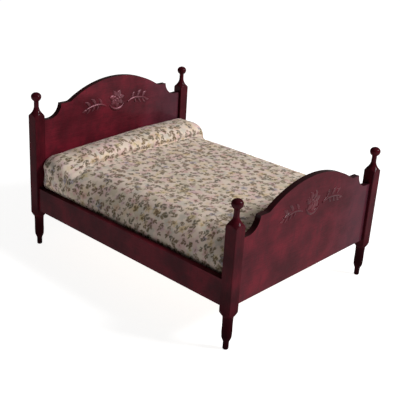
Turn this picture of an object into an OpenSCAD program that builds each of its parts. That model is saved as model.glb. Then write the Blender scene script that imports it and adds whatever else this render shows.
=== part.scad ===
// Dolls house double bed at one twelfth scale. Four turned posts carry a shaped and
// carved headboard and footboard, two plain side rails hold a slatted base, and a
// loose mattress with a bolster sewn under the same cloth cover rests on the slats.
// Millimetres. +Z is up, +Y points to the headboard, and the origin is on the floor
// under the middle of the bed.

/* [Frame] */
// Spacing of the post centres across the bed
post_gap_x = 126; // [120:1:140]
// Spacing of the post centres along the bed
post_gap_y = 163.2; // [150:0.1:180]
// Side of the square part of a post
post_side = 7.2; // [6.8:0.1:7.8]
// Height of the two head posts
head_post_h = 101.4; // [98:0.1:112]
// Height of the two foot posts
foot_post_h = 85.4; // [80:0.1:95]
// Length of a leg, from the floor to the square part
leg_h = 22.6; // [20:0.1:24]

/* [Boards] */
// Thickness of the headboard and footboard
board_t = 3.6; // [3:0.1:4]
// Height of the headboard's bottom edge
board_bottom_z = 25.8; // [25:0.1:30]
// Height of the top of the headboard's arch
arch_top_z = 103.3; // [102:0.1:108]
// How much lower the footboard is than the headboard
foot_drop = 20; // [16:0.5:22]

/* [Rails and base] */
// Thickness of a side rail
rail_t = 3.8; // [3:0.1:4.2]
// Height of a side rail's bottom edge
rail_bottom_z = 25.2; // [25:0.1:28]
// Height of a side rail's top edge
rail_top_z = 40.3; // [38:0.1:44]
// Number of slats, each a node of its own
slat_count = 7; // [7:1:7]
// Width of a slat
slat_w = 9; // [6:0.5:12]

/* [Mattress] */
// Height of the top of the covered mattress
mattress_top_z = 56.6; // [52:0.1:60]
// Height of the top of the covered bolster
bolster_top_z = 65.5; // [62:0.1:70]
// Depth of the bolster along the bed
bolster_depth = 27; // [20:0.5:32]

/* [Hidden] */
SLATS = [for (i = [1:slat_count]) str("slat_", i)];

LEFT = -1;
RIGHT = 1;
HEAD = 1;
FOOT = -1;

mahogany = [0.36, 0.12, 0.13];
bare_wood = [0.62, 0.47, 0.33];
card_brown = [0.66, 0.57, 0.44];
foam_white = [0.93, 0.91, 0.84];
cloth_cream = [0.82, 0.77, 0.67];

// Turned outline of a post
corner_r = post_side*sqrt(2)/2 + 0.01; // just outside the square's corners
leg_cone_h = 2.7;                      // cut from the square down to the round leg
leg_r = 2.95;                          // round leg just below the square
leg_waist_r = 2.8;                     // a little thinner half way down
leg_end_r = 2.65;                      // above the narrow foot
foot_r = 1.75;                         // narrow foot
foot_h = 5;                            // height of the narrow foot
foot_step_h = 2.2;                     // height of the cone above it
foot_edge = 0.4;                       // softened edge of the foot
knob_r = 3.15;                         // knob at its widest
knob_dome_h = 2.6;                     // top of the knob to its widest
knob_under_h = 3.1;                    // half height of the rounded underside
neck_r = 1.5;                          // neck between knob and shoulder
neck_top_d = 5.7;                      // depths below the top of the post
neck_low_d = 8;
shoulder_d = 15;
flare_power = 2.3;                     // how late the neck flares out to the shoulder

// Places of the boards and rails
half_x = post_gap_x/2;
half_y = post_gap_y/2;
post_in_x = half_x - post_side/2;      // faces of the posts that look inwards
post_in_y = half_y - post_side/2;
board_in_y = half_y - board_t/2;       // faces of the boards that look inwards
board_out_y = half_y + board_t/2;
rail_out_x = half_x + 2.4;
rail_in_x = rail_out_x - rail_t;

// Outline of the top of the headboard, in heights above the floor
arc_bite = 0.06;                       // arcs cross their neighbours by this, not just touch
cove_r = 9.3;
notch_z = 83.5;                        // flat beside the post
cove_x = post_in_x - 4.7;              // centre of the cove's quarter circle
cove_z = notch_z + cove_r - arc_bite;
ear_z = cove_z - 0.8;                  // flat top of the ear
arch_half_w = 38.4;                    // where the arch would meet the ear's level
arch_rise = arch_top_z - ear_z;
arch_r = (arch_half_w*arch_half_w + arch_rise*arch_rise)/(2*arch_rise);
arch_c_z = arch_top_z - arch_r;
fillet_r = 6;                          // soft corner between the ear and the arch
fillet_z = ear_z + fillet_r - arc_bite;
fillet_x = sqrt(pow(arch_r + fillet_r - arc_bite, 2) - pow(fillet_z - arch_c_z, 2));
fillet_w = 4.2;                        // width of the block that the soft corner is cut from
fillet_h = 0.95;                       // half the height of that block

// Glued dowels
dowel_r = 1;
dowel_len = 6;
dowel_gap = 0.04;                      // room for glue around a dowel
rail_dowel_z = (rail_bottom_z + rail_top_z)/2;
rail_dowel_x = (rail_in_x + rail_out_x)/2;
head_dowel_z = [46, 74];
foot_dowel_z = [46, 58];

// Slatted base
ledger_w = 3;
ledger_h = 3;
ledger_bottom_z = rail_bottom_z + 2.8;
ledger_len = 2*post_in_y - 1;
slat_t = 1.4;
slat_bottom_z = ledger_bottom_z + ledger_h;
slat_len = 2*rail_in_x - 0.4;
slat_end_gap = 8;                      // from the last slat's middle to the posts
slat_pitch = (2*post_in_y - 2*slat_end_gap)/(slat_count - 1);

// Mattress, bolster and cover
cloth_t = 0.4;
card_t = 1.6;
side_gap = 0.3;                        // between the cover and the rails or footboard
head_gap = 1.2;                        // the cover clears the carving on the headboard
mattress_bottom_z = slat_bottom_z + slat_t;
mattress_half_w = rail_in_x - side_gap;
mattress_foot_y = -board_in_y + side_gap;
mattress_head_y = board_in_y - head_gap;
plan_corner_r = 7.5;                   // rounds the mattress past the posts
edge_r = 8;                            // soft upper edges of the mattress
bolster_edge_r = 4.2;
bolster_low_z = mattress_top_z - 6;    // the bolster's block starts inside the mattress
hem_w = 7;                             // width of the cloth turned under and glued to the card
hem_cut = 1;                           // the opening inside the hem is cut this far past the cloth

// Applied carving
rosette_t = 1.1;
spray_t = 0.9;
rosette_z = 88;                        // middle of the rosette on the headboard
rosette_r = 4.4;
petal_count = 8;
petal_len = 5.2;
petal_w = 2.8;
cup_r = 7.6;                           // crescent below the rosette
cup_w = 1.4;
stem_r = 21;                           // arched stem of a spray
stem_w = 1.1;
stem_mid_x = 19.5;
stem_half = 9.5;
stem_top = -1.2;                       // top of the stem, from the rosette's middle
// leaves of the right spray: [x of the leaf's base on the stem, angle, length, width]
spray_leaves = [
    [28, -32, 5.4, 2],
    [26.5, -78, 4.6, 1.9],
    [23.4, -96, 4.4, 1.8],
    [20.2, -104, 3.8, 1.7],
    [24.6, 58, 6.4, 2.2],
    [18.6, 66, 6.2, 2.2],
    [13.4, 74, 4.8, 1.8]];

curve = $preview ? 48 : 96;

// ---- Posts ----

// Radius and height of the turned outline for a post of height top_z, from the foot up
function leg_outline() = [
    [0, 0],
    [foot_r - foot_edge, 0],
    [foot_r, foot_edge],
    [foot_r, foot_h],
    [leg_end_r, foot_h + foot_step_h],
    [leg_r, foot_h + 2*foot_step_h],
    [leg_waist_r, leg_h - 2.5*leg_cone_h],
    [leg_r, leg_h - leg_cone_h],
    [corner_r, leg_h]];
function flare_outline(top_z, steps = 8) = [for (i = [steps:-1:0])
    let (t = i/steps)
    [neck_r + (corner_r - neck_r)*pow(t, flare_power), top_z - neck_low_d - (shoulder_d - neck_low_d)*t]];
function knob_outline(top_z, steps = 8) = concat(
    [[neck_r, top_z - neck_top_d]],
    [for (i = [1:steps])
        let (a = -acos(neck_r/knob_r)*(1 - i/steps))
        [knob_r*cos(a), top_z - knob_dome_h + knob_under_h*sin(a)]],
    [for (i = [1:steps])
        let (a = 90*i/steps)
        [knob_r*cos(a), top_z - knob_dome_h + knob_dome_h*sin(a)]]);

// A square bar turned on a lathe, standing on the origin
module turned_bar(top_z) {
    intersection() {
        translate([-post_side/2, -post_side/2, 0]) cube([post_side, post_side, top_z]);
        rotate_extrude($fn = curve)
            polygon(concat(leg_outline(), flare_outline(top_z), knob_outline(top_z)));
    }
}

// Post with the holes for its rail dowel and its board dowels
module post(side, end, top_z, dowel_heights) {
    color(mahogany)
    difference() {
        translate([side*half_x, end*half_y, 0]) turned_bar(top_z);
        rail_dowel(side, end, dowel_gap);
        for (z = dowel_heights) board_dowel(side, end, z, dowel_gap);
    }
}

// ---- Dowels ----

module rail_dowel(side, end, extra) {
    translate([side*rail_dowel_x, end*post_in_y, rail_dowel_z])
        rotate([90, 0, 0])
            cylinder(r = dowel_r + extra, h = dowel_len + 2*extra, center = true, $fn = curve);
}

module board_dowel(side, end, z, extra) {
    translate([side*post_in_x, end*half_y, z])
        rotate([0, 90, 0])
            cylinder(r = dowel_r + extra, h = dowel_len + 2*extra, center = true, $fn = curve);
}

module rail_dowels() {
    color(bare_wood)
    for (side = [LEFT, RIGHT], end = [HEAD, FOOT]) rail_dowel(side, end, 0);
}

module board_dowels(end, heights) {
    color(bare_wood)
    for (side = [LEFT, RIGHT], z = heights) board_dowel(side, end, z, 0);
}

// ---- Boards ----

// Upright outline of the headboard: X across the bed, Y of the outline is height
module board_outline(bottom_z) {
    difference() {
        union() {
            translate([-post_in_x, bottom_z]) square([2*post_in_x, ear_z - bottom_z]);
            intersection() {
                translate([0, arch_c_z]) circle(r = arch_r, $fn = 2*curve);
                translate([-fillet_x, bottom_z]) square([2*fillet_x, arch_top_z]);
            }
            for (side = [LEFT, RIGHT]) ear_fillet(side);
        }
        for (side = [LEFT, RIGHT]) cove_cut(side);
    }
}

module ear_fillet(side) {
    mirror([side < 0 ? 1 : 0, 0])
    difference() {
        translate([fillet_x - fillet_w, ear_z - fillet_h]) square([fillet_w, 2*fillet_h]);
        translate([fillet_x, fillet_z]) circle(r = fillet_r, $fn = curve);
    }
}

module cove_cut(side) {
    mirror([side < 0 ? 1 : 0, 0])
    union() {
        translate([cove_x, cove_z]) circle(r = cove_r, $fn = curve);
        translate([cove_x, notch_z]) square([cove_r, 3*cove_r]);
    }
}

module board(end, drop, dowel_heights) {
    color(mahogany)
    difference() {
        translate([0, end*half_y + board_t/2, -drop])
            rotate([90, 0, 0])
                linear_extrude(board_t) board_outline(board_bottom_z + drop);
        for (side = [LEFT, RIGHT], z = dowel_heights) board_dowel(side, end, z, dowel_gap);
    }
}

// ---- Applied carving, drawn flat about the rosette's middle ----

// Pointed leaf along +X from the origin, the overlap of two circles
module leaf(length, width) {
    r = (length*length + width*width)/(4*width);
    intersection() {
        translate([length/2, r - width/2]) circle(r = r, $fn = curve);
        translate([length/2, width/2 - r]) circle(r = r, $fn = curve);
    }
}

module rosette_outline() {
    circle(r = rosette_r, $fn = curve);
    for (i = [0:petal_count - 1])
        rotate(360*(i + 0.5)/petal_count) translate([rosette_r - 1.6, 0]) leaf(petal_len - 1, petal_w);
    intersection() {
        difference() {
            circle(r = cup_r, $fn = curve);
            translate([0, cup_w]) circle(r = cup_r, $fn = curve);
        }
        translate([-cup_r, -2*cup_r]) square([2*cup_r, 1.4*cup_r]);
    }
}

// Height of the middle of the stem at x
function stem_height(x) =
    stem_top - stem_r + sqrt(pow(stem_r - stem_w/2, 2) - pow(x - stem_mid_x, 2));

module spray_outline() {
    intersection() {
        difference() {
            translate([stem_mid_x, stem_top - stem_r]) circle(r = stem_r, $fn = 2*curve);
            translate([stem_mid_x, stem_top - stem_r]) circle(r = stem_r - stem_w, $fn = 2*curve);
        }
        translate([stem_mid_x - stem_half, -cup_r]) square([2*stem_half, cup_r]);
    }
    for (l = spray_leaves)
        translate([l[0], stem_height(l[0])]) rotate(l[1]) leaf(l[2], l[3]);
}

// Stands a flat carving on a face that looks to -Y
module on_face(face_y, z, thickness) {
    color(mahogany)
    translate([0, face_y, z])
        rotate([90, 0, 0])
            linear_extrude(thickness) children();
}

module rosette(face_y, z) {
    on_face(face_y, z, rosette_t) rosette_outline();
}

module spray(side, face_y, z) {
    on_face(face_y, z, spray_t) mirror([side < 0 ? 1 : 0, 0]) spray_outline();
}

// ---- Rails and slatted base ----

module side_rail(side) {
    color(mahogany)
    difference() {
        translate([side*rail_dowel_x - rail_t/2, -post_in_y, rail_bottom_z])
            cube([rail_t, 2*post_in_y, rail_top_z - rail_bottom_z]);
        for (end = [HEAD, FOOT]) rail_dowel(side, end, dowel_gap);
    }
}

module ledger_strip(side) {
    color(bare_wood)
    translate([side*(rail_in_x - ledger_w/2) - ledger_w/2, -ledger_len/2, ledger_bottom_z])
        cube([ledger_w, ledger_len, ledger_h]);
}

// Slat number 1 is the nearest to the foot
module slat(number) {
    y = -post_in_y + slat_end_gap + (number - 1)*slat_pitch;
    color(bare_wood)
    translate([-slat_len/2, y - slat_w/2, slat_bottom_z])
        cube([slat_len, slat_w, slat_t]);
}

// ---- Mattress ----

// Rectangle standing on the axis, from x0 to x1, with round upper corners
module round_topped(x0, x1, bottom, top, r) {
    translate([x0, bottom]) square([x1 - x0, top - r - bottom]);
    translate([x0 + r, bottom]) square([x1 - x0 - 2*r, top - bottom]);
    for (x = [x0 + r, x1 - r]) translate([x, top - r]) circle(r = r, $fn = curve);
}

// Upright block with the mattress's plan, inset from the cover's outside
module plan_block(inset, bottom, top) {
    r = plan_corner_r - inset;
    x = mattress_half_w - inset - r;
    y0 = mattress_foot_y + inset + r;
    y1 = mattress_head_y - inset - r;
    translate([0, 0, bottom])
    linear_extrude(top - bottom) {
        translate([-x, y0 - r]) square([2*x, y1 - y0 + 2*r]);
        translate([-x - r, y0]) square([2*x + 2*r, y1 - y0]);
        for (cx = [-x, x], cy = [y0, y1]) translate([cx, cy]) circle(r = r, $fn = curve);
    }
}

// Block from y0 to y1 whose upper edges are round on all four sides
module pad_block(inset, y0, y1, bottom, top, r) {
    half_w = mattress_half_w - inset;
    intersection() {
        plan_block(inset, bottom, top);
        translate([0, y1, 0])
            rotate([90, 0, 0])
                linear_extrude(y1 - y0) round_topped(-half_w, half_w, bottom, top, r);
        rotate([90, 0, 90])
            translate([0, 0, -half_w])
                linear_extrude(2*half_w) round_topped(y0, y1, bottom, top, r);
    }
}

module mattress_block(inset, bottom) {
    pad_block(inset, mattress_foot_y + inset, mattress_head_y - inset,
              bottom, mattress_top_z - inset, edge_r - inset);
}

module bolster_block(inset) {
    pad_block(inset, mattress_head_y - bolster_depth + inset, mattress_head_y - inset,
              bolster_low_z, bolster_top_z - inset, bolster_edge_r - inset);
}

module mattress_base_card() {
    color(card_brown)
    plan_block(cloth_t, mattress_bottom_z + cloth_t, mattress_bottom_z + cloth_t + card_t);
}

module mattress_foam() {
    color(foam_white)
    mattress_block(cloth_t, mattress_bottom_z + cloth_t + card_t);
}

module bolster_wadding() {
    color(foam_white)
    difference() {
        bolster_block(cloth_t);
        mattress_block(cloth_t, mattress_bottom_z);
    }
}

// Cloth round the foam and the bolster, turned under the card and open in the middle
module mattress_cover() {
    color(cloth_cream)
    difference() {
        union() {
            mattress_block(0, mattress_bottom_z);
            bolster_block(0);
        }
        mattress_block(cloth_t, mattress_bottom_z + cloth_t);
        bolster_block(cloth_t);
        plan_block(hem_w, mattress_bottom_z - hem_cut, mattress_bottom_z + hem_cut);
    }
}

// ---- Assembly ----

post(LEFT, HEAD, head_post_h, head_dowel_z);  // head_post_left
post(RIGHT, HEAD, head_post_h, head_dowel_z);  // head_post_right
post(LEFT, FOOT, foot_post_h, foot_dowel_z);  // foot_post_left
post(RIGHT, FOOT, foot_post_h, foot_dowel_z);  // foot_post_right
board(HEAD, 0, head_dowel_z);  // headboard_panel
board(FOOT, foot_drop, foot_dowel_z);  // footboard_panel
rosette(board_in_y, rosette_z);  // headboard_rosette
spray(LEFT, board_in_y, rosette_z);  // headboard_spray_left
spray(RIGHT, board_in_y, rosette_z);  // headboard_spray_right
rosette(-board_out_y, rosette_z - foot_drop);  // footboard_rosette
spray(LEFT, -board_out_y, rosette_z - foot_drop);  // footboard_spray_left
spray(RIGHT, -board_out_y, rosette_z - foot_drop);  // footboard_spray_right
side_rail(LEFT);  // side_rail_left
side_rail(RIGHT);  // side_rail_right
ledger_strip(LEFT);  // ledger_strip_left
ledger_strip(RIGHT);  // ledger_strip_right
for (i = [1:slat_count])
    slat(i);
rail_dowels();
board_dowels(HEAD, head_dowel_z);  // headboard_dowels
board_dowels(FOOT, foot_dowel_z);  // footboard_dowels
mattress_base_card();
mattress_foam();
bolster_wadding();
mattress_cover();
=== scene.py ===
"""Looks of the dolls house bed: stained wood, applied carving and a printed cotton cover.

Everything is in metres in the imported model's frame: +X right, +Y to the headboard, +Z up.
Sizes are in millimetres where their names end in _MM or _mm, and MM turns them into metres.
"""

import math

import bpy
import numpy as np
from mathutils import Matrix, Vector


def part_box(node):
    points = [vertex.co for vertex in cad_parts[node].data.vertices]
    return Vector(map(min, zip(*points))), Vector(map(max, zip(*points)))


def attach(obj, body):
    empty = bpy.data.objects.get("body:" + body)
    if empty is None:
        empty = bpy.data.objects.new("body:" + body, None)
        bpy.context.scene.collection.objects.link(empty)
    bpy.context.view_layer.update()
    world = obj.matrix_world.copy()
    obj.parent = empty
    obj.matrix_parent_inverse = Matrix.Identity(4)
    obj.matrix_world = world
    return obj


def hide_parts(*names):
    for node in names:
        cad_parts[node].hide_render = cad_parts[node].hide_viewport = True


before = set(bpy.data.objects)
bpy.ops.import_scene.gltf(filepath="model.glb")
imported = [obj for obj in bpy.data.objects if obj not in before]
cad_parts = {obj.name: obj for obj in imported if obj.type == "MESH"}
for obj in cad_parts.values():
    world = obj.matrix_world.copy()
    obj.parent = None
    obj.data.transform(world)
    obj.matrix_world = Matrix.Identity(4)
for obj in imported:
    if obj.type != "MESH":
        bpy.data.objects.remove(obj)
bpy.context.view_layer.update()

MM = 0.001
X_AXIS, Y_AXIS, Z_AXIS = 0, 1, 2
FLAT_MM = 0.01  # heights and places that differ by less than this are the same
FRAME_BODY = "bed_frame"
MATTRESS_BODY = "mattress"


# ---------------------------------------------------------------- node helpers


class Shader:
    """A material and the few node operations that the materials below are written with."""

    def __init__(self, name):
        self.material = bpy.data.materials.new(name)
        self.material.use_nodes = True
        self.tree = self.material.node_tree
        self.surface = self.tree.nodes["Principled BSDF"]

    def node(self, kind, inputs=(), **settings):
        """Adds a node, sets its properties, and sets or links its inputs by name or number."""
        made = self.tree.nodes.new(kind)
        for key, value in settings.items():
            setattr(made, key, value)
        for key, value in dict(inputs).items():
            self.feed(made.inputs[key], value)
        return made

    def feed(self, socket, value):
        if isinstance(value, bpy.types.NodeSocket):
            self.tree.links.new(value, socket)
        else:
            socket.default_value = value

    def math(self, operation, a, b=0.0, c=0.0):
        return self.node("ShaderNodeMath", {0: a, 1: b, 2: c}, operation=operation).outputs[0]

    def vector(self, operation, a, b=(0, 0, 0)):
        made = self.node("ShaderNodeVectorMath", {0: a, 1: b}, operation=operation)
        return made.outputs["Value" if operation == "LENGTH" else "Vector"]

    def parts(self, vector):
        """The x, y and z of a vector."""
        return self.node("ShaderNodeSeparateXYZ", {"Vector": vector}).outputs

    def noise(self, coords, scale, detail=3.0, roughness=0.5):
        inputs = {"Vector": coords, "Scale": scale, "Detail": detail, "Roughness": roughness}
        return self.node("ShaderNodeTexNoise", inputs).outputs["Fac"]

    def remap(self, value, low, high, to_low=0.0, to_high=1.0):
        """A smooth step of value from low to high."""
        made = self.node(
            "ShaderNodeMapRange",
            {"Value": value, "From Min": low, "From Max": high, "To Min": to_low, "To Max": to_high},
            interpolation_type="SMOOTHSTEP",
        )
        return made.outputs["Result"]

    def ramp(self, factor, stops, constant=False):
        made = self.node("ShaderNodeValToRGB", {"Fac": factor})
        made.color_ramp.interpolation = "CONSTANT" if constant else "LINEAR"
        elements = made.color_ramp.elements
        while len(elements) < len(stops):
            elements.new(1.0)
        for element, (position, colour) in zip(elements, stops):
            element.position = position
            element.color = (*colour, 1.0)
        return made.outputs["Color"]

    def mix(self, factor, a, b, blend="MIX"):
        made = self.node("ShaderNodeMix", data_type="RGBA", blend_type=blend)
        colours = [s for s in made.inputs if s.type == "RGBA"]
        self.feed(made.inputs[0], factor)
        for socket, value in zip(colours, (a, b)):
            self.feed(socket, (*value, 1.0) if isinstance(value, tuple) else value)
        return next(s for s in made.outputs if s.type == "RGBA")

    def millimetres(self, stretch=(1.0, 1.0, 1.0)):
        """Object coordinates in millimetres, each axis times its stretch."""
        where = self.node("ShaderNodeTexCoord").outputs["Object"]
        scale = tuple(s / MM for s in stretch)
        return self.vector("MULTIPLY", where, scale)

    def bump(self, height, distance_mm, strength=1.0, under=None):
        inputs = {"Height": height, "Distance": distance_mm * MM, "Strength": strength}
        if under is not None:
            inputs["Normal"] = under
        return self.node("ShaderNodeBump", inputs).outputs["Normal"]

    def set(self, **values):
        """Sets the surface shader's sockets, with _ for the spaces in their names, and returns the
        material."""
        for key, value in values.items():
            self.feed(self.surface.inputs[key.replace("_", " ")], value)
        return self.material


# ---------------------------------------------------------------- materials

STAIN_DEEP = (0.042, 0.0046, 0.0080)
STAIN_MIDDLE = (0.066, 0.0066, 0.0118)
STAIN_BRIGHT = (0.100, 0.0080, 0.0150)
STAIN_IN_BLOTCHES = (0.040, 0.0075, 0.0110)
STAIN_IN_PORES = (0.018, 0.0025, 0.0040)
# the sawn edges' colour is partly their stain and partly painted shade
EDGE_STAIN_AND_SHADE = (0.010, 0.0030, 0.0036)
# painted reflection: a grey over the boards' right side that stands in for the room mirrored in the varnish
PAINTED_REFLECTION_GREY = (0.044, 0.022, 0.032)
REFLECTION_FROM_MM, REFLECTION_TO_MM = 40.0, 80.0  # across the bed from its middle
REFLECTION_WANDER_MM = 50.0
LEG_DARK_BELOW_MM, LEG_DARK_TO_MM, LEG_DULL_TO_MM = 14.0, 30.0, 40.0  # heights above the floor


def grain_stretch(grain_axis, with_grain, across_grain):
    """Stretch of a texture whose grain runs along one axis."""
    return tuple(with_grain if axis == grain_axis else across_grain for axis in range(3))


def stained(s, grain, pores, patches):
    """The stain's colour on a planed face."""
    tone = s.math("ADD", s.math("MULTIPLY", grain, 0.3), s.math("MULTIPLY", patches, 0.7))
    colour = s.ramp(tone, [(0.38, STAIN_DEEP), (0.50, STAIN_MIDDLE), (0.62, STAIN_BRIGHT)])
    blotches = s.noise(s.millimetres((1.0, 1.0, 0.45)), 0.30, 2.0)
    colour = s.mix(s.remap(blotches, 0.50, 0.72, 0.0, 0.45), colour, STAIN_IN_BLOTCHES)
    return s.mix(s.remap(pores, 0.58, 0.72, 0.0, 0.45), colour, STAIN_IN_PORES)


def dark_edges_and_painted_reflection(s, colour, patches, edge_axis):
    """Darkens a board's sawn edges, partly for the stain that they drink and partly as painted shade,
    and greys its right side with a painted reflection of the room in the varnish. edge_axis is the axis of
    the board's thickness."""
    facing = s.parts(s.node("ShaderNodeTexCoord").outputs["Normal"])[edge_axis]
    # painted shade in part: the edges darken by the way they face, beyond what their stain gives
    edge = s.remap(s.math("ABSOLUTE", facing), 0.35, 0.9, 0.85, 0.0)
    colour = s.mix(edge, colour, EDGE_STAIN_AND_SHADE)
    across = s.parts(s.millimetres())[X_AXIS]
    wandering = s.math("MULTIPLY_ADD", patches, REFLECTION_WANDER_MM, across)
    # painted reflection: greys the right side of the board, away from its edges
    painted_reflection = s.remap(wandering, REFLECTION_FROM_MM, REFLECTION_TO_MM, 0.0, 0.45)
    painted_reflection = s.math("MULTIPLY", painted_reflection, s.math("SUBTRACT", 1.0, edge))
    return s.mix(painted_reflection, colour, PAINTED_REFLECTION_GREY)


def darker(s, colour, depth):
    return s.mix(1.0, colour, (depth, depth, depth), "MULTIPLY")


def stained_wood(name, grain_axis, edge_axis=None, depth=1.0, foot_depth=1.0, polish=0.16, rubbed=0.0):
    """Dark red mahogany stain over close grained wood, under a thin satin varnish. depth and
    foot_depth multiply the colour everywhere and towards the floor, polish is the weight of the
    varnish, and rubbed is how much the bare wood shines where no varnish covers it."""
    s = Shader(name)
    grain = s.noise(s.millimetres(grain_stretch(grain_axis, 0.10, 2.6)), 1.0, 4.0, 0.6)
    pores = s.noise(s.millimetres(grain_stretch(grain_axis, 0.35, 7.0)), 1.0, 2.0)
    patches = s.noise(s.millimetres(), 0.07, 3.0)
    colour = stained(s, grain, pores, patches)
    if edge_axis is not None:
        colour = dark_edges_and_painted_reflection(s, colour, patches, edge_axis)
    # depth brightens or darkens a copy of the stain; for the headboard and the uprights this is painted
    # light and shade
    if depth != 1.0:
        colour = darker(s, colour, depth)
    if foot_depth != 1.0:
        # the turned legs are darker and duller towards the floor
        height = s.parts(s.millimetres())[Z_AXIS]
        low = s.remap(height, LEG_DARK_BELOW_MM, LEG_DARK_TO_MM, 1.0, 0.0)
        colour = s.mix(low, colour, darker(s, colour, foot_depth))
        polish = s.remap(height, LEG_DARK_BELOW_MM, LEG_DULL_TO_MM, 0.25 * polish, polish)

    varnish = s.noise(s.millimetres(), 0.5, 2.0)
    return s.set(
        Base_Color=colour,
        Roughness=s.remap(varnish, 0.3, 0.7, 0.36, 0.46),
        Normal=s.bump(pores, 0.02, 0.30, s.bump(grain, 0.04, 0.35)),
        Specular_IOR_Level=rubbed,
        Specular_Tint=(1.0, 0.50, 0.60, 1.0),
        Coat_Weight=polish,
        Coat_Roughness=0.16,
        Coat_Normal=s.bump(varnish, 0.10, 0.12),
    )


def bare_wood(name, grain_axis):
    """Unfinished pale wood of the slats, ledger strips and dowels."""
    s = Shader(name)
    grain = s.noise(s.millimetres(grain_stretch(grain_axis, 0.08, 1.8)), 1.0, detail=5.0, roughness=0.65)
    fibres = s.noise(s.millimetres(grain_stretch(grain_axis, 0.3, 9.0)), 1.0, detail=2.0)
    dark, middle, pale = (0.36, 0.22, 0.115), (0.50, 0.335, 0.19), (0.58, 0.41, 0.25)
    colour = s.ramp(grain, [(0.30, dark), (0.52, middle), (0.72, pale)])
    colour = s.mix(s.remap(fibres, 0.55, 0.75, 0.0, 0.35), colour, (0.27, 0.155, 0.08))
    normal = s.bump(fibres, 0.05, 0.5, s.bump(grain, 0.08, 0.5))
    return s.set(Base_Color=colour, Roughness=s.remap(grain, 0.3, 0.7, 0.62, 0.78), Normal=normal)


def grey_card(name):
    """Pulpy mount card under the mattress."""
    s = Shader(name)
    pulp = s.noise(s.millimetres(), 2.4, detail=5.0, roughness=0.7)
    flecks = s.noise(s.millimetres((1.0, 2.5, 1.0)), 3.5, detail=2.0)
    colour = s.ramp(pulp, [(0.3, (0.33, 0.27, 0.19)), (0.7, (0.47, 0.40, 0.30))])
    colour = s.mix(s.remap(flecks, 0.64, 0.74, 0.0, 0.6), colour, (0.16, 0.12, 0.08))
    roughness = s.remap(pulp, 0.3, 0.7, 0.82, 0.95)
    return s.set(Base_Color=colour, Roughness=roughness, Normal=s.bump(pulp, 0.05, 0.6))


PRINT = "print_mm"  # the attribute that says where each point lies on the flat cloth
THREADS_PER_MM = 4.0
WASH_COLOURS = (
    (0.0, (0.42, 0.38, 0.24)),
    (0.26, (0.38, 0.39, 0.34)),
    (0.48, (0.60, 0.35, 0.36)),
    (0.78, (0.60, 0.44, 0.24)),
)
PETAL_COLOURS = (
    (0.0, (0.58, 0.32, 0.31)),
    (0.24, (0.52, 0.37, 0.16)),
    (0.40, (0.16, 0.16, 0.27)),
    (0.54, (0.58, 0.36, 0.25)),
    (0.66, (0.52, 0.33, 0.38)),
    (0.90, (0.52, 0.42, 0.20)),
)
OLIVE, BOTTLE_GREEN, RUSSET = (0.100, 0.066, 0.020), (0.066, 0.056, 0.028), (0.120, 0.066, 0.030)
LEAF_COLOURS = ((0.0, OLIVE), (0.45, BOTTLE_GREEN), (0.70, RUSSET))
SPRIG_SOWINGS = (  # spacing, size, shift of the pattern and strength of the colour
    (5.1, 2.7, (7.3, 29.0, 0.0), 0.86),
    (6.0, 2.1, (19.0, 3.0, 0.0), 0.72),
)


def sown(s, where, spacing_mm, shift, size_spread=0.35):
    """Scatters places over the cloth. Returns coordinates in millimetres about the nearest place,
    turned and scaled at random, and a random number for that place."""
    shifted = s.vector("ADD", where, shift)
    cells = s.node(
        "ShaderNodeTexVoronoi",
        {"Vector": shifted, "Scale": 1.0 / spacing_mm, "Randomness": 0.85},
        voronoi_dimensions="2D",
    )
    local = s.vector("SUBTRACT", shifted, cells.outputs["Position"])
    chance = s.node("ShaderNodeSeparateColor", {"Color": cells.outputs["Color"]}).outputs
    turned = s.node(
        "ShaderNodeVectorRotate",
        {"Vector": local, "Angle": s.math("MULTIPLY", chance[0], 2 * math.pi)},
        rotation_type="Z_AXIS",
    ).outputs["Vector"]
    size = s.remap(chance[1], 0.0, 1.0, 1.0 + size_spread, 1.0 - size_spread)
    scaled = s.node("ShaderNodeVectorMath", {0: turned, "Scale": size}, operation="SCALE").outputs[0]
    return scaled, chance[2]


def ellipse(s, local, centre, angle, half_length, half_width, softness=0.35):
    """1 inside an ellipse of the given place, angle and size in millimetres, fading at its edge."""
    moved = s.vector("SUBTRACT", local, (*centre, 0.0))
    turned = s.node("ShaderNodeVectorRotate", {"Vector": moved, "Angle": -angle}, rotation_type="Z_AXIS")
    scaled = s.vector("MULTIPLY", turned.outputs["Vector"], (1 / half_length, 1 / half_width, 0.0))
    return s.remap(s.vector("LENGTH", scaled), 1.0 - softness, 1.0 + softness, 1.0, 0.0)


def sprig(s, local, size_mm):
    """A leaf at the tip and a pair below it, which is one leaf drawn on both sides of the stalk."""
    x, y, _ = s.parts(local)
    folded = s.node("ShaderNodeCombineXYZ", {0: x, 1: s.math("ABSOLUTE", y)}).outputs[0]
    tip = ellipse(s, local, (0.38 * size_mm, 0.0), 0.0, 0.40 * size_mm, 0.21 * size_mm, 0.45)
    pair = ellipse(s, folded, (-0.12 * size_mm, 0.27 * size_mm), 0.80, 0.36 * size_mm, 0.19 * size_mm, 0.45)
    return s.math("MAXIMUM", tip, pair)


def blossom(s, local, radius_mm, petals=5):
    """A small flower with round petals."""
    x, y, _ = s.parts(local)
    angle = s.math("ARCTAN2", y, x)
    wave = s.math("COSINE", s.math("MULTIPLY", angle, float(petals)))
    reach = s.math("MULTIPLY_ADD", wave, 0.20 * radius_mm, 0.80 * radius_mm)
    distance = s.math("DIVIDE", s.vector("LENGTH", local), reach)
    return s.remap(distance, 0.75, 1.2, 1.0, 0.0)


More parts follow.
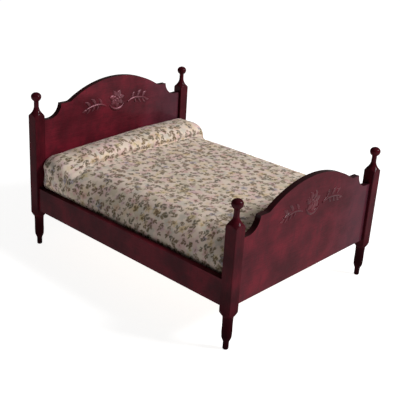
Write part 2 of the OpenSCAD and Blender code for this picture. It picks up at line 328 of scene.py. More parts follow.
def flower_print(s, place, colour):
    """Faint washes behind, then blossoms with dark hearts, then the sprigs over them."""
    local, kind = sown(s, place, 6.4, (3.1, 7.7, 0.0))
    wash = s.ramp(kind, WASH_COLOURS, constant=True)
    colour = s.mix(s.math("MULTIPLY", blossom(s, local, 3.1), 0.42), colour, wash)

    local, kind = sown(s, place, 7.0, (41.0, 13.0, 0.0))
    petal_colour = s.ramp(kind, PETAL_COLOURS, constant=True)
    colour = s.mix(s.math("MULTIPLY", blossom(s, local, 1.9), 0.60), colour, petal_colour)
    heart = s.remap(s.vector("LENGTH", local), 0.30, 0.75, 0.70, 0.0)
    colour = s.mix(heart, colour, (0.17, 0.11, 0.05))

    for spacing_mm, size_mm, shift, strength in SPRIG_SOWINGS:
        local, kind = sown(s, place, spacing_mm, shift)
        leaf_colour = s.ramp(kind, LEAF_COLOURS, constant=True)
        colour = s.mix(s.math("MULTIPLY", sprig(s, local, size_mm), strength), colour, leaf_colour)
    return colour


def printed_cotton(name):
    """Cream plain weave cotton with a small scattered print of sprigs and blossoms."""
    s = Shader(name)
    where = s.node("ShaderNodeAttribute", attribute_name=PRINT).outputs["Vector"]
    wander = s.node("ShaderNodeTexNoise", {"Vector": where, "Scale": 0.6, "Detail": 1.0}).outputs["Color"]
    uneven = s.vector("MULTIPLY", s.vector("SUBTRACT", wander, (0.5, 0.5, 0.5)), (1.8, 1.8, 0.0))
    tint = s.noise(where, 0.16, 2.0)
    ground = s.ramp(tint, [(0.38, (0.655, 0.525, 0.450)), (0.62, (0.680, 0.570, 0.475))])
    colour = flower_print(s, s.vector("ADD", where, uneven), ground)

    # plain weave: warp and weft threads
    threads = 2 * math.pi * THREADS_PER_MM
    x, y, _ = s.parts(where)
    warp = s.math("SINE", s.math("MULTIPLY", x, threads))
    weft = s.math("SINE", s.math("MULTIPLY", y, threads))
    weave = s.math("MULTIPLY", warp, weft)
    slubs = s.noise(s.vector("MULTIPLY", where, (0.4, 3.0, 1.0)), 1.0, 2.0)
    return s.set(
        Base_Color=s.mix(s.remap(weave, -1.0, 1.0, 0.0, 0.12), colour, (0.30, 0.25, 0.18)),
        Roughness=s.remap(slubs, 0.3, 0.7, 0.84, 0.96),
        Normal=s.bump(weave, 0.035, 0.5, s.bump(slubs, 0.05, 0.4)),
        Sheen_Weight=0.10,
        Sheen_Roughness=0.5,
        Specular_IOR_Level=0.2,
    )


# Painted light and shade: the headboard's copy of the stain is 1.25 times brighter to stand in for light
# that its panel lacks, and the uprights' copy is darker to offset the reflection in their varnish.
WOOD_UPRIGHT = stained_wood("stained_wood_upright", Z_AXIS, depth=0.68, foot_depth=0.30, polish=0.11)
WOOD_HEADBOARD = stained_wood("stained_wood_headboard", X_AXIS, edge_axis=Y_AXIS, depth=1.25)
WOOD_FOOTBOARD = stained_wood("stained_wood_footboard", X_AXIS, edge_axis=Y_AXIS, depth=1.0)
WOOD_RAIL = stained_wood("stained_wood_rail", Y_AXIS, depth=0.85, polish=0.12)
WOOD_CARVED = stained_wood("stained_wood_carved", X_AXIS, depth=1.15, polish=0.0, rubbed=0.9)
WOOD_CARVED_DULL = stained_wood("stained_wood_carved_dull", X_AXIS, depth=0.94, rubbed=0.06)
BARE_CROSSWISE = bare_wood("bare_wood_crosswise", X_AXIS)
BARE_LENGTHWISE = bare_wood("bare_wood_lengthwise", Y_AXIS)
CARD = grey_card("grey_card")
COTTON = printed_cotton("printed_cotton")


# ---------------------------------------------------------------- mesh helpers


def make_piece(name, vertices, faces, material, body):
    """A smooth shaded piece of the object from points in metres, on its body."""
    mesh = bpy.data.meshes.new(name)
    mesh.from_pydata([tuple(float(c) for c in v) for v in vertices], [], faces)
    mesh.validate()
    mesh.materials.append(material)
    mesh.shade_smooth()
    piece = bpy.data.objects.new(name, mesh)
    bpy.context.scene.collection.objects.link(piece)
    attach(piece, body)
    return piece


def tube_faces(rings, around):
    """Quads that join rings of points, each with the same number around, and the two end caps."""
    faces = []
    for i in range(rings - 1):
        for j in range(around):
            a, b = i * around + j, i * around + (j + 1) % around
            faces.append((a, b, b + around, a + around))
    faces.append(tuple(reversed(range(around))))
    faces.append(tuple((rings - 1) * around + j for j in range(around)))
    return faces


# ---------------------------------------------------------------- turned posts

LEG_KNOTS_MM = (  # height above the floor and radius, from the foot to the square bar
    (0.0, 1.20), (0.15, 1.45), (0.5, 1.62), (4.6, 1.66), (5.2, 1.90), (6.9, 2.60), (7.6, 2.74),
    (10.5, 2.90), (14.0, 2.82), (18.0, 2.86), (19.7, 2.96), (20.2, 3.15), (22.8, 5.30),
)
SHOULDER_MM, NECK_LOW_MM = 15.0, 8.0  # below the top of the post
FLARE_POWER = 2.3  # how late the neck flares out to the shoulder
NECK_R_MM, KNOB_R_MM, DOME_MM, UNDER_MM = 1.5, 3.15, 2.6, 3.1
TIP_R_MM = 0.12  # the knob's top ends in a flat of this radius
CORNER_MM = 0.45  # rounding of the bar's corners
CUT_SOFTNESS_MM = 0.3  # of the line where the lathe's cut meets the bar's flat sides
LEG_STEP_MM, SQUARE_STEP_MM = 0.2, 1.5


def turned_radii(top_mm, full_mm):
    """Heights and radii of the lathe's cut from floor to knob, with full_mm where it leaves the square."""
    heights, radii = [list(v) for v in zip(*LEG_KNOTS_MM)]
    fine = np.arange(0.0, heights[-1], LEG_STEP_MM)
    leg = list(zip(fine, np.interp(fine, heights, radii)))
    square = [(z, full_mm) for z in np.arange(heights[-1] + 0.3, top_mm - SHOULDER_MM, SQUARE_STEP_MM)]
    flare = []
    for t in np.linspace(1.0, 0.0, 40):
        depth = NECK_LOW_MM + (SHOULDER_MM - NECK_LOW_MM) * t
        flare.append((top_mm - depth, NECK_R_MM + (full_mm - NECK_R_MM) * t**FLARE_POWER))
    widest = top_mm - DOME_MM
    under = []
    for angle in np.linspace(-math.acos(NECK_R_MM / KNOB_R_MM), 0.0, 18):
        under.append((widest + UNDER_MM * math.sin(angle), KNOB_R_MM * math.cos(angle)))
    dome = []
    for angle in np.linspace(0.0, math.pi / 2, 18)[1:-1]:
        dome.append((widest + DOME_MM * math.sin(angle), KNOB_R_MM * math.cos(angle)))
    tip = [(top_mm - FLAT_MM, TIP_R_MM)]
    return leg + square + flare + under + dome + tip


def square_radius(angle, half_mm):
    """Distance from the axis to a square with rounded corners, in the direction angle."""
    c = abs(math.cos(angle))
    s = abs(math.sin(angle))
    long, short = max(c, s), min(c, s)
    flat = half_mm / long
    if flat * short <= half_mm - CORNER_MM:
        return flat
    centre = half_mm - CORNER_MM
    middle = centre * (c + s)
    return middle + math.sqrt(max(middle * middle - 2 * centre * centre + CORNER_MM * CORNER_MM, 0.0))


def soft_min(a, b, softness):
    """The smaller of two values, with the change from one to the other rounded."""
    h = max(softness - abs(a - b), 0.0) / softness
    return min(a, b) - h * h * softness / 4


def post_angles():
    """Directions round a post, closer together at its four corners."""
    corner_turns = [math.radians(a) for a in (-4, -2.5, -1, 1, 2.5, 4)]
    on_sides = [math.radians(a) for a in np.arange(0.0, 360.0, 5.0) if abs(a % 90 - 45) > 5]
    at_corners = [math.pi * (0.25 + 0.5 * q) + a for q in range(4) for a in corner_turns]
    return sorted(on_sides + at_corners)


def post(node):
    """Square bar turned on a lathe at both ends, in the place of the CAD post."""
    low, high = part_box(node)
    centre = (low + high) / 2
    half_mm = (high.x - low.x) / 2 / MM
    angles = post_angles()
    profile = turned_radii((high.z - low.z) / MM, half_mm * math.sqrt(2) + 0.5)
    points = []
    for z, r in profile:
        for angle in angles:
            reach = soft_min(r, square_radius(angle, half_mm), CUT_SOFTNESS_MM)
            x = centre.x + reach * math.cos(angle) * MM
            y = centre.y + reach * math.sin(angle) * MM
            points.append((x, y, z * MM))
    faces = tube_faces(len(profile), len(angles))
    piece = make_piece(node + "_turned", points, faces, WOOD_UPRIGHT, FRAME_BODY)
    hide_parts(node)


for end in ("head", "foot"):
    for side in ("left", "right"):
        post(f"{end}_post_{side}")


# ---------------------------------------------------------------- boards, rails and base

SHARP_EDGE_DEGREES = 40  # edges that turn by less than this stay as they are
STAINED_EDGE_MM, SLAT_EDGE_MM, STRIP_EDGE_MM, SMALL_EDGE_MM = 0.3, 0.2, 0.15, 0.1


def finish_cad(node, material, edge_mm):
    """Keeps a CAD node, softens its cut edges and gives it its material."""
    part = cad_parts[node]
    part.data.materials.clear()
    part.data.materials.append(material)
    soften = part.modifiers.new("soft_edges", "BEVEL")
    soften.width = edge_mm * MM
    soften.segments = 3
    soften.limit_method = "ANGLE"
    soften.angle_limit = math.radians(SHARP_EDGE_DEGREES)


finish_cad("headboard_panel", WOOD_HEADBOARD, STAINED_EDGE_MM)
finish_cad("footboard_panel", WOOD_FOOTBOARD, STAINED_EDGE_MM)
for side in ("left", "right"):
    finish_cad(f"side_rail_{side}", WOOD_RAIL, STAINED_EDGE_MM)
    finish_cad(f"ledger_strip_{side}", BARE_LENGTHWISE, STRIP_EDGE_MM)
for node in sorted(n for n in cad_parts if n.startswith("slat_")):
    finish_cad(node, BARE_CROSSWISE, SLAT_EDGE_MM)
for node, material in (
    ("rail_dowels", BARE_LENGTHWISE),
    ("headboard_dowels", BARE_CROSSWISE),
    ("footboard_dowels", BARE_CROSSWISE),
):
    finish_cad(node, material, SMALL_EDGE_MM)
finish_cad("mattress_base_card", CARD, SMALL_EDGE_MM)


# ---------------------------------------------------------------- applied carving

CARVING_SINK_MM = 0.4  # how far the glued relief reaches into the board
STEM_FROM_MM, STEM_TO_MM = 9.4, 26.0  # from the middle of the rosette
STEM_CREST_MM = (16.0, -1.6)  # where a stem is highest, from the middle of the rosette
STEM_FALL_IN, STEM_FALL_OUT = 0.042, 0.016  # how fast it falls towards and away from the rosette
STEM_THIN_MM, STEM_THICK_MM = 0.45, 0.95  # half widths at the ends and in the middle
STEM_RELIEF_MM, LEAF_RELIEF_MM = 0.75, 0.60
OUTER_PETALS, INNER_PETALS = 7, 5
BUTTON_R_MM, CUP_R_MM = 1.25, 6.9
CUP_DEGREES = (205, 335)
CREST_WIDTH = 0.22  # of the vein along a leaf, as a part of its half width
THIN_MM = 0.05  # half width of a ridge that runs out to a point
LEAVES_MM = (  # place along the stem, direction in degrees, length and width
    (25.0, -22, 4.6, 1.9),
    (22.8, -52, 4.8, 1.9),
    (19.4, -58, 4.4, 1.8),
    (16.0, -64, 4.0, 1.7),
    (22.6, 44, 5.6, 2.3),
    (18.0, 50, 6.2, 2.4),
    (13.2, 58, 5.2, 2.1),
)


def ridge(line, half_widths, heights, groove=0.0, around=14):
    """A rounded ridge on a board along a line of (x, z) points: its points (x, height, z) and faces.
    groove is how deep a vein runs along its crest, as a part of its height."""
    line = np.array(line, dtype=float)
    ahead = np.gradient(line, axis=0)
    ahead /= np.linalg.norm(ahead, axis=1)[:, None]
    side = np.stack([-ahead[:, 1], ahead[:, 0]], axis=1)
    points = []
    for (x, z), (side_x, side_z), half, height in zip(line, side, half_widths, heights):
        ring = [(half, -CARVING_SINK_MM)]
        for turn in np.linspace(0.0, math.pi, around):
            vein = groove * math.exp(-((math.cos(turn) / CREST_WIDTH) ** 2))
            dome = math.sin(turn) ** 1.5 * (1.0 - vein)
            ring.append((half * math.cos(turn), height * dome))
        ring.append((-half, -CARVING_SINK_MM))
        points += [(x + side_x * a, out, z + side_z * a) for a, out in ring]
    return points, tube_faces(len(line), around + 2)


def leaf(x, z, degrees, length, width, height, bend=0.12, groove=0.35):
    """A pointed leaf from its base at (x, z), curved a little to one side by bend of its length."""
    turn = math.radians(degrees)
    line, halves, heights = [], [], []
    for t in np.linspace(0.0, 1.0, 14):
        ahead = length * t
        sideways = bend * length * math.sin(math.pi * t)
        line_x = x + ahead * math.cos(turn) - sideways * math.sin(turn)
        line_z = z + ahead * math.sin(turn) + sideways * math.cos(turn)
        line.append((line_x, line_z))
        fullness = math.sin(math.pi * (0.06 + 0.90 * t**0.85))
        halves.append(max(width / 2 * fullness, 0.06))
        heights.append(height * (0.35 + 0.65 * fullness))
    return ridge(line, halves, heights, groove)


def joined(parts):
    """Several lots of points and faces as one."""
    points, faces = [], []
    for some_points, some_faces in parts:
        faces += [tuple(n + len(points) for n in face) for face in some_faces]
        points += some_points
    return points, faces


def stem_height(x):
    """Height of a spray's stem above the middle of the rosette, at x from it."""
    crest_x, crest_z = STEM_CREST_MM
    inwards, outwards = max(crest_x - x, 0.0), max(x - crest_x, 0.0)
    return crest_z - STEM_FALL_IN * inwards**2 - STEM_FALL_OUT * outwards**2


def spray():
    """A curved stem with leaves on both sides, to the right of the rosette."""
    xs = np.linspace(STEM_FROM_MM, STEM_TO_MM, 40)
    stem = [(x, stem_height(x)) for x in xs]
    thickness = [math.sin(math.pi * t) ** 0.7 for t in np.linspace(0.02, 0.98, len(xs))]
    halves = [STEM_THIN_MM + (STEM_THICK_MM - STEM_THIN_MM) * t for t in thickness]
    parts = [ridge(stem, halves, [STEM_RELIEF_MM] * len(xs), around=12)]
    for x, degrees, length, width in LEAVES_MM:
        bend = 0.12 if degrees > 0 else -0.12
        parts.append(leaf(x, stem_height(x), degrees, length, width, LEAF_RELIEF_MM, bend))
    return joined(parts)


def ring_of_petals(count, first, base_r, length, width, height, groove):
    """A ring of petals. first is the place of its first one, as a part of a petal's share."""
    parts = []
    for n in range(count):
        turn = 2 * math.pi * (n + first) / count
        base = (base_r * math.cos(turn), base_r * math.sin(turn))
        parts.append(leaf(*base, math.degrees(turn), length, width, height, 0.0, groove))
    return parts


def rosette():
    """Two rings of petals round a button, over a crescent."""
    parts = ring_of_petals(OUTER_PETALS, 0.25, 1.2, 5.2, 4.2, 0.70, 0.20)
    parts += ring_of_petals(INNER_PETALS, 0.1, 0.5, 3.3, 2.9, 0.95, 0.15)
    turns = np.linspace(-0.5 * math.pi, 0.5 * math.pi, 12)
    button = [(BUTTON_R_MM * math.sin(t), 0.0) for t in turns]
    halves = [max(BUTTON_R_MM * math.cos(t), THIN_MM) for t in turns]
    parts.append(ridge(button, halves, [1.1 * (0.6 + 0.4 * math.cos(t)) for t in turns]))
    turns = np.linspace(*(math.radians(a) for a in CUP_DEGREES), 30)
    cup = [(CUP_R_MM * math.cos(t), CUP_R_MM * math.sin(t)) for t in turns]
    fullness = [math.sin(math.pi * t) for t in np.linspace(0.03, 0.97, len(cup))]
    parts.append(ridge(cup, [0.20 + 0.95 * f for f in fullness], [0.3 + 0.7 * f for f in fullness]))
    return joined(parts)


def carve(board, material, relief):
    """The rosette and its two sprays on the side of a board that faces the foot of the bed.
    relief is the height of the carving as a part of its full height."""
    face_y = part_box(board + "_panel")[0].y
    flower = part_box(board + "_rosette")[1]
    middle_z = (flower.z - flower.x) / MM  # the CAD flower is round, and its middle is at x = 0
    for name, (points, faces), mirror in (
        ("rosette", rosette(), 1),
        ("spray_left", spray(), -1),
        ("spray_right", spray(), 1),
    ):
        placed = [(mirror * x * MM, face_y - out * relief * MM, (middle_z + z) * MM) for x, out, z in points]
        turned = [tuple(reversed(face)) for face in faces] if mirror > 0 else faces
        piece = make_piece(f"{board}_{name}_carved", placed, turned, material, FRAME_BODY)
        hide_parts(f"{board}_{name}")


carve("headboard", WOOD_CARVED, 1.0)
carve("footboard", WOOD_CARVED_DULL, 0.6)


# ---------------------------------------------------------------- mattress and bolster

COVER_LOW, COVER_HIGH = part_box("mattress_cover")
HALF_WIDTH_MM = COVER_HIGH.x / MM
FOOT_MM = COVER_LOW.y / MM
HEAD_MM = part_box("headboard_panel")[0].y / MM - 0.15
BOTTOM_MM = COVER_LOW.z / MM
TOP_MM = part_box("mattress_foam")[1].z / MM + 0.1
BOX_LOW_MM = np.array([-HALF_WIDTH_MM, FOOT_MM, BOTTOM_MM])
BOX_HIGH_MM = np.array([HALF_WIDTH_MM, HEAD_MM, TOP_MM])
RAIL_TOP_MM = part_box("side_rail_left")[1].z / MM
# the inner faces of the posts, which the cloth stays clear of
POST_X_MM = -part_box("head_post_left")[1].x / MM - 0.1
HEAD_POST_Y_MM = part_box("head_post_left")[0].y / MM - 0.1
FOOT_POST_Y_MM = -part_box("foot_post_left")[1].y / MM - 0.1

GRID_MM = 2.1
BOLSTER_GRID_MM = GRID_MM * 0.65
LEFT, RIGHT, FOOT, HEAD, UNDER = range(5)  # sides of the sharp box, as box_grid numbers them

# how far the rounding of the top's edges reaches along X, Y and Z
ROUND_LEFT_MM = np.array([19.0, 8.0, 16.0])
ROUND_RIGHT_MM = np.array([3.5, 3.5, 4.0])
ROUND_BOLSTER_END_MM = np.array([9.0, 3.0, 7.0])
ROUND_BOLSTER_FROM_MM, ROUND_BOLSTER_OVER_MM = 30.0, 30.0  # along the bed
ROUND_CHANGE_MM = 60.0  # across the bed, from the left's rounding to the right's

HEM_MM = 7.0  # width of the cloth that is turned under
RECESS_MM = 1.0  # how far the cloth inside the hem is lifted, up into the card that then shows
MITRE_MM = 0.25  # depth of the folds at the hem's corners

BOLSTER_START_MM = HEAD_MM - 31.0  # where the cloth begins to rise from the mattress
BOLSTER_REACH_MM, BOLSTER_RISE_MM = 10.2, 5.0  # half sizes of its round front along Y and Z
# the middle of that round
BOLSTER_Y_MM, BOLSTER_Z_MM = HEAD_MM - 16.4, COVER_HIGH.z / MM + 0.1 - BOLSTER_RISE_MM
BOLSTER_SKEW_MM = 1.6  # its right end lies this much nearer the headboard than its middle
VALLEY_TURN = math.radians(-42.0)
LIFT_FROM_MM, LIFT_OVER_MM = RAIL_TOP_MM + 1.2, 8.0  # height from which the cloth follows it
PLAIN_FROM_MM, PLAIN_OVER_MM, PLAIN_SHARE = 36.0, 22.0, 0.8  # where its left end turns plain
LEAN_FROM_MM, LEAN_OVER_MM, LEAN_DROP_MM = 25.0, 75.0, 5.6  # how its back sinks to the left
LEAN_FRONT_MM = 2.0  # how far in front of its middle the lean begins

LEFT_SWELL_MM = 1.2  # of the bolster's left end, above the rail
SWELL_FROM_Z_MM, SWELL_OVER_Z_MM = RAIL_TOP_MM + 0.7, 8.0
SWELL_FROM_Y_MM, SWELL_OVER_Y_MM = 38.0, 24.0
SWELL_POWER = 5  # how closely the swelling keeps to the outermost cloth
RAIL_SWELL_MM = 1.3  # how far the sides lap over the tops of the rails
RAIL_SWELL_HIGH_MM = 12.0  # the height of that bulge
RAIL_GAP_MM = 0.3  # between the rail's top and the start of that bulge

SIM_SCALE = 10.0  # the cloth solver expects things of about a metre
SIM_FRAMES = 20
SIM_CAP_MM = 1.4
TUCK_HOLD = 0.9  # how firmly the tuck in front of the bolster is held
FOOT_SWELL_MM = 0.2  # room for the cloth at the foot end
ABOVE_RAIL_MM = 1.0  # the sides may swell from this much above the rails


def even_steps(low, high, step):
    """Evenly spaced values from low to high, about step apart."""
    return np.linspace(low, high, round((high - low) / step) + 1)


def smooth_step(value):
    value = np.clip(value, 0.0, 1.0)
    return value * value * (3 - 2 * value)


def round_off(points):
    """Rounds the box that the points lie on, except along its bottom edges."""
    to_bolster = smooth_step((points[:, 1:2] - ROUND_BOLSTER_FROM_MM) / ROUND_BOLSTER_OVER_MM)
    to_right = smooth_step(points[:, 0:1] / ROUND_CHANGE_MM + 0.5)
    left = ROUND_LEFT_MM + (ROUND_BOLSTER_END_MM - ROUND_LEFT_MM) * to_bolster
    radii = left + (ROUND_RIGHT_MM - left) * to_right
    inner_low = BOX_LOW_MM + radii
    inner_low[:, 2] = -np.inf
    inner = np.clip(points, inner_low, BOX_HIGH_MM - radii)
    reach = (points - inner) / radii
    length = np.maximum(np.linalg.norm(reach, axis=1), 1e-9)
    pull = np.where(length > 1e-6, np.abs(reach).max(axis=1) / length, 1.0)
    return inner + (points - inner) * pull[:, None]


def bolster_line():
    """The bolster's outline from the mattress top to the headboard: y, z and the length along it."""
    front = np.linspace(VALLEY_TURN, math.pi / 2, 60)
    y = BOLSTER_Y_MM - BOLSTER_REACH_MM * np.cos(front)
    z = BOLSTER_Z_MM + BOLSTER_RISE_MM * np.sin(front)
    y = np.concatenate([[BOLSTER_START_MM], y, [HEAD_MM]])
    z = np.concatenate([[TOP_MM], z, [z[-1]]])
    lengths = np.concatenate([[0.0], np.cumsum(np.hypot(np.diff(y), np.diff(z)))])
    return y, z, lengths


def on_bolster(points):
    """Where the cloth of the mattress top goes, y and z, when it is drawn over the bolster."""
    y_line, z_line, lengths = bolster_line()
    part = np.clip((points[:, 1] - BOLSTER_START_MM) / (HEAD_MM - BOLSTER_START_MM), 0.0, 1.0)
    y = np.interp(part * lengths[-1], lengths, y_line)
    z = np.interp(part * lengths[-1], lengths, z_line)
    # at its left end the round front melts into a plain slope
    plain = smooth_step((-points[:, 0] - PLAIN_FROM_MM) / PLAIN_OVER_MM)
    slope = TOP_MM + (z_line[-1] - TOP_MM) * smooth_step(part * 1.25 - 0.05)
    y = y + (points[:, 1] - y) * PLAIN_SHARE * plain
    z = z + (slope - z) * PLAIN_SHARE * plain
    y = y + BOLSTER_SKEW_MM * points[:, 0] / HALF_WIDTH_MM * np.sin(math.pi * part)
    # towards the left end it leans away from the headboard
    left = np.clip((LEAN_FROM_MM - points[:, 0]) / LEAN_OVER_MM, 0.0, 1.0)
    crown = BOLSTER_Y_MM - LEAN_FRONT_MM
    behind = np.clip((y - crown) / (HEAD_MM - crown), 0.0, 1.0)
    return y, z - LEAN_DROP_MM * left**1.2 * behind**1.6


def bulge(points):
    """Swells the bolster's left end outwards above the rail, and the sides a little all along."""
    high = smooth_step((points[:, 2] - SWELL_FROM_Z_MM) / SWELL_OVER_Z_MM)
    swells = high * smooth_step((points[:, 1] - SWELL_FROM_Y_MM) / SWELL_OVER_Y_MM)
    outwards = (points[:, 0] / HALF_WIDTH_MM) ** SWELL_POWER
    moved = points.copy()
    moved[:, 0] += np.where(moved[:, 0] < 0.0, LEFT_SWELL_MM * swells * outwards, 0.0)
    above = np.clip((moved[:, 2] - RAIL_TOP_MM - RAIL_GAP_MM) / RAIL_SWELL_HIGH_MM, 0.0, 1.0)
    moved[:, 0] += RAIL_SWELL_MM * np.sin(math.pi * np.sqrt(above)) * (1.0 - swells) * outwards
    return moved


def raise_bolster(points):
    """Moves the cloth by the headboard up and forwards on to the bolster."""
    y, z = on_bolster(points)
    height = smooth_step((points[:, 2] - LIFT_FROM_MM) / LIFT_OVER_MM)
    rises = points[:, 1] > BOLSTER_START_MM
    moved = points.copy()
    moved[:, 1] += np.where(rises, (y - points[:, 1]) * height, 0.0)
    moved[:, 2] += np.where(rises, (z - TOP_MM) * height, 0.0)
    return moved


def around_posts(points):
    """Presses the cloth back where it would pass into one of the square posts."""
    moved = points.copy()
    for sign, face_y in ((1, HEAD_POST_Y_MM), (-1, FOOT_POST_Y_MM)):
        over_x = np.abs(moved[:, 0]) - POST_X_MM
        over_y = sign * moved[:, 1] - face_y
        inside = (over_x > 0) & (over_y > 0)
        to_side = inside & (over_x < over_y)
        moved[:, 0] = np.where(to_side, np.sign(moved[:, 0]) * POST_X_MM, moved[:, 0])
        moved[:, 1] = np.where(inside & ~to_side, sign * face_y, moved[:, 1])
    return moved


def box_grid(xs, ys, zs):
    """Grid points over the six sides of a box, and quads as (side, four point numbers, four steps)."""
    last = (len(xs) - 1, len(ys) - 1, len(zs) - 1)
    numbers, points, quads = {}, [], []

    def number(step):
        if step not in numbers:
            numbers[step] = len(points)
            points.append((xs[step[0]], ys[step[1]], zs[step[2]]))
        return numbers[step]

    for axis in range(3):
        across, up = (axis + 1) % 3, (axis + 2) % 3
        for high_side in (False, True):
            for a in range(last[across]):
                for b in range(last[up]):
                    corners = [(a, b), (a + 1, b), (a + 1, b + 1), (a, b + 1)]
                    if not high_side:
                        corners.reverse()
                    steps = []
                    for s, t in corners:
                        step = [0, 0, 0]
                        step[axis] = last[axis] if high_side else 0
                        step[across], step[up] = s, t
                        steps.append(tuple(step))
                    quads.append((2 * axis + high_side, [number(s) for s in steps], steps))
    return np.array(points), quads


def cover_grid():
    """The cloth's grid lines along X, Y and Z, closer together over the bolster."""
    xs = even_steps(-HALF_WIDTH_MM, HALF_WIDTH_MM, GRID_MM)
    over_mattress = even_steps(FOOT_MM, BOLSTER_START_MM, GRID_MM)
    over_bolster = even_steps(BOLSTER_START_MM, HEAD_MM, BOLSTER_GRID_MM)
    zs = even_steps(BOTTOM_MM, TOP_MM, GRID_MM)
    return xs, np.concatenate([over_mattress, over_bolster[1:]]), zs


def shaped(points):
    """Points of the sharp box, moved to where the cloth lies."""
    return around_posts(bulge(raise_bolster(round_off(np.array(points, dtype=float)))))


def run_lengths(points):
    """Length along a row of points of the sharp box once they are shaped, from the first one."""
    steps = np.diff(shaped(points), axis=0)
    return np.concatenate([[0.0], np.cumsum(np.linalg.norm(steps, axis=1))])


class FlatCloth:
    """The cloth laid flat, in millimetres: measured across and along the middle of the top, then
    down each side and in under it."""

    def __init__(self, xs, ys, zs):
        self.xs, self.ys = xs, ys
        middle_x, middle_y = (xs[0] + xs[-1]) / 2, FOOT_MM / 2
        across = run_lengths([(x, middle_y, TOP_MM) for x in xs])
        self.across = across - across[-1] / 2
        self.lengthwise = run_lengths([(middle_x, y, TOP_MM) for y in ys])

        def down(x, y):
            return run_lengths([(x, y, z) for z in zs[::-1]])[::-1]

        self.down = {
            LEFT: [down(xs[0], y) for y in ys],
            RIGHT: [down(xs[-1], y) for y in ys],
            FOOT: [down(x, ys[0]) for x in xs],
            HEAD: [down(x, ys[-1]) for x in xs],
        }

    def place(self, side, step, centre):
        """Where a corner of a quad lies, from the quad's side and centre and the corner's steps."""
        i, j, k = step
        xs, ys = self.xs, self.ys
        insets = (centre[0] - xs[0], xs[-1] - centre[0], centre[1] - ys[0], ys[-1] - centre[1])
        edge = insets.index(min(insets)) if side == UNDER else side
        u, v = self.across[i], self.lengthwise[j]
        if edge == LEFT:
            u = self.across[0] - self.down[LEFT][j][k] - (xs[i] - xs[0])
        elif edge == RIGHT:
            u = self.across[-1] + self.down[RIGHT][j][k] + (xs[-1] - xs[i])
        elif edge == FOOT:
            v = self.lengthwise[0] - self.down[FOOT][i][k] - (ys[j] - ys[0])
        elif edge == HEAD:
            v = self.lengthwise[-1] + self.down[HEAD][i][k] + (ys[-1] - ys[j])
        return u, v, 0.0


def sewn_cover():
    """One printed cloth drawn over the mattress and the bolster and turned under their edges."""
    xs, ys, zs = cover_grid()
    sharp, quads = box_grid(xs, ys, zs)
    points = shaped(sharp)
    faces = [numbers for _, numbers, _ in quads]
    cover = make_piece(
        "mattress_and_bolster", points * MM, faces, COTTON, MATTRESS_BODY
    )
    flat = FlatCloth(xs, ys, zs)
    places = []
    for side, numbers, steps in quads:
        centre = sharp[numbers].mean(axis=0)
        places += [flat.place(side, step, centre) for step in steps]
    print_map = cover.data.attributes.new(PRINT, "FLOAT_VECTOR", "CORNER")
    print_map.data.foreach_set("vector", np.array(places, dtype=np.float32).ravel())

    swell(cover, sharp, points)
    turn_under(cover, sharp)
    soften = cover.modifiers.new("soften", "SUBSURF")
    soften.levels = soften.render_levels = 1
    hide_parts("mattress_cover", "mattress_foam", "bolster_wadding")


def turn_under(cover, sharp):
    """Leaves a hem all round the underside, mitred at its corners, with the card bare inside it."""
    xs, ys = np.unique(sharp[:, 0]), np.unique(sharp[:, 1])
    from_side = np.minimum(sharp[:, 0] - xs[0], xs[-1] - sharp[:, 0])
    from_end = np.minimum(sharp[:, 1] - ys[0], ys[-1] - sharp[:, 1])
    inset = np.minimum(from_side, from_end)
    off_mitre = np.abs(from_side - from_end)
    for vertex, height, edge, skew in zip(cover.data.vertices, sharp[:, 2], inset, off_mitre):
        if height > BOTTOM_MM + FLAT_MM:
            continue
        if edge > HEM_MM:
            vertex.co.z += RECESS_MM * MM
        elif edge > 0.0 and skew < GRID_MM / 2:
            vertex.co.z += MITRE_MM * MM
    cover.data.update()


def hold_edges(cover, sharp):
    """Marks the cloth that is glued underneath, and the tuck in front of the bolster."""
    held = cover.vertex_groups.new(name="held")
    under = np.flatnonzero(sharp[:, 2] <= BOTTOM_MM + FLAT_MM)
    held.add([int(n) for n in under], 1.0, "REPLACE")
    _, _, lengths = bolster_line()
    tuck = BOLSTER_START_MM + (HEAD_MM - BOLSTER_START_MM) * lengths[1] / lengths[-1]
    rows = np.unique(sharp[:, 1])
    tuck_row = rows[np.abs(rows - tuck).argmin()]
    tucked = (np.abs(sharp[:, 1] - tuck_row) < FLAT_MM) & (sharp[:, 2] >= TOP_MM - FLAT_MM)
    held.add([int(n) for n in np.flatnonzero(tucked)], TUCK_HOLD, "REPLACE")
    return held


def add_cloth(cover, held):
    """Cloth under pressure, without gravity or collisions."""
    cloth = cover.modifiers.new("cloth", "CLOTH")
    settings = cloth.settings
    settings.quality = 5
    settings.mass = 0.3
    settings.tension_stiffness = settings.compression_stiffness = 15.0
    settings.shear_stiffness = 5.0
    settings.bending_stiffness = 0.05
    settings.use_pressure = True
    settings.uniform_pressure_force = 4.0
    settings.shrink_min = settings.shrink_max = -0.02
    settings.vertex_group_mass = held.name
    settings.effector_weights.gravity = 0.0
    cloth.collision_settings.use_collision = False
    cloth.collision_settings.use_self_collision = False
    cloth.point_cache.frame_start = 1
    cloth.point_cache.frame_end = SIM_FRAMES
    return cloth


def blown_points(cover, count):
    """Runs the simulation and returns where the cloth's points end, in millimetres."""
    scene = bpy.context.scene
    for number in range(1, SIM_FRAMES + 1):
        scene.frame_set(number)
        bpy.context.view_layer.update()
    evaluated = cover.evaluated_get(bpy.context.evaluated_depsgraph_get())
    blown = np.empty(count * 3, dtype=np.float32)
    evaluated.to_mesh().vertices.foreach_get("co", blown)
    evaluated.to_mesh_clear()
    scene.frame_set(1)
    return blown.reshape(-1, 3) / SIM_SCALE / MM


def put_points(cover, points_mm, scale=1.0):
    cover.data.vertices.foreach_set("co", (points_mm * MM * scale).astype(np.float32).ravel())
    cover.data.update()


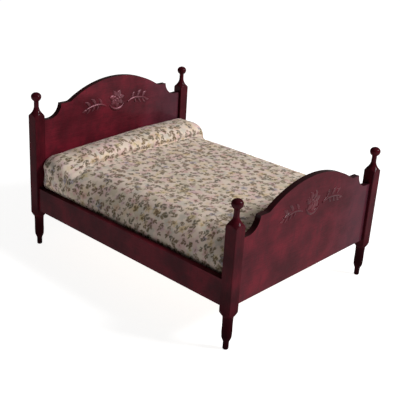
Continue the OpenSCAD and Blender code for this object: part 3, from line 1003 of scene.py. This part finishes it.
def swell(cover, sharp, points):
    """Blows the cloth up a little against its glued edges, so that it strains as over wadding."""
    put_points(cover, points, SIM_SCALE)
    held = hold_edges(cover, sharp)
    cloth = add_cloth(cover, held)
    moved = blown_points(cover, len(points)) - points
    cover.modifiers.remove(cloth)
    cover.vertex_groups.remove(held)

    length = np.linalg.norm(moved, axis=1)
    moved *= (np.tanh(length / SIM_CAP_MM) * SIM_CAP_MM / np.maximum(length, 1e-9))[:, None]
    result = points + moved
    result[:, 1] = np.clip(result[:, 1], FOOT_MM - FOOT_SWELL_MM, HEAD_MM)
    between_rails = result[:, 2] < RAIL_TOP_MM + ABOVE_RAIL_MM
    kept_in = np.clip(result[:, 0], -HALF_WIDTH_MM, HALF_WIDTH_MM)
    result[:, 0] = np.where(between_rails, kept_in, result[:, 0])
    put_points(cover, around_posts(result))


sewn_cover()


# ---------------------------------------------------------------- floor, light and camera


FLOOR_HALF_SIZE = 6.0
FLOOR_GREY, FLOOR_GLOW = 0.38, 0.88
BED_MIDDLE = Vector((0.0, 0.0, 0.05))
WHITE, WARM_WHITE = (1.0, 1.0, 1.0, 1.0), (1.0, 0.97, 0.92, 1.0)
ROOM_FROM, ROOM_TO = (-0.6, 0.04), (0.8, 0.40)  # direction's x and the room's strength there
KEY_DIRECTION = (0.43, -0.72, 0.66)
KEY_DISTANCE, KEY_SIZE, KEY_POWER = 1.3, 0.36, 19.0
LENS_MM = 68.7
CAMERA_PLACE = (-0.3279, -0.2952, 0.2255)
CAMERA_DEGREES = (67.26, -3.35, -46.65)


def floor():
    """A wide white floor, lit a little from within so that it stays pale in the far corners."""
    half = FLOOR_HALF_SIZE
    corners = [(-half, -half, 0.0), (half, -half, 0.0), (half, half, 0.0), (-half, half, 0.0)]
    mesh = bpy.data.meshes.new("floor")
    mesh.from_pydata(corners, [], [(0, 1, 2, 3)])
    s = Shader("pale_floor")
    grey = (FLOOR_GREY, FLOOR_GREY, FLOOR_GREY, 1.0)
    s.set(Base_Color=grey, Roughness=0.9, Emission_Color=WHITE, Emission_Strength=FLOOR_GLOW)
    mesh.materials.append(s.material)
    ground = bpy.data.objects.new("floor", mesh)
    bpy.context.scene.collection.objects.link(ground)


def softbox():
    """The key light, a square lamp that looks at the bed's middle."""
    data = bpy.data.lights.new("key", "AREA")
    data.shape = "SQUARE"
    data.size = KEY_SIZE
    data.energy = KEY_POWER
    lamp = bpy.data.objects.new("key", data)
    away = Vector(KEY_DIRECTION).normalized()
    lamp.location = BED_MIDDLE + away * KEY_DISTANCE
    lamp.rotation_mode = "QUATERNION"
    lamp.rotation_quaternion = away.to_track_quat("Z", "Y")
    bpy.context.scene.collection.objects.link(lamp)


def studio():
    """A dim warm room that is brighter on the right, and one soft lamp at the front right."""
    world = bpy.data.worlds.new("studio")
    world.use_nodes = True
    tree = world.node_tree
    where = tree.nodes.new("ShaderNodeTexCoord").outputs["Generated"]
    parts = tree.nodes.new("ShaderNodeSeparateXYZ")
    room = tree.nodes.new("ShaderNodeMapRange")
    for key, value in zip(("From Min", "To Min", "From Max", "To Max"), ROOM_FROM + ROOM_TO):
        room.inputs[key].default_value = value
    background = tree.nodes["Background"]
    background.inputs["Color"].default_value = WARM_WHITE
    tree.links.new(where, parts.inputs["Vector"])
    tree.links.new(parts.outputs["X"], room.inputs["Value"])
    tree.links.new(room.outputs["Result"], background.inputs["Strength"])
    bpy.context.scene.world = world
    softbox()
    bpy.context.scene.view_settings.view_transform = "Standard"


def camera():
    data = bpy.data.cameras.new("camera")
    data.lens = LENS_MM
    data.clip_start = 0.01
    cam = bpy.data.objects.new("camera", data)
    cam.location = CAMERA_PLACE
    cam.rotation_euler = tuple(math.radians(a) for a in CAMERA_DEGREES)
    bpy.context.scene.collection.objects.link(cam)
    bpy.context.scene.camera = cam


floor()
studio()
camera()
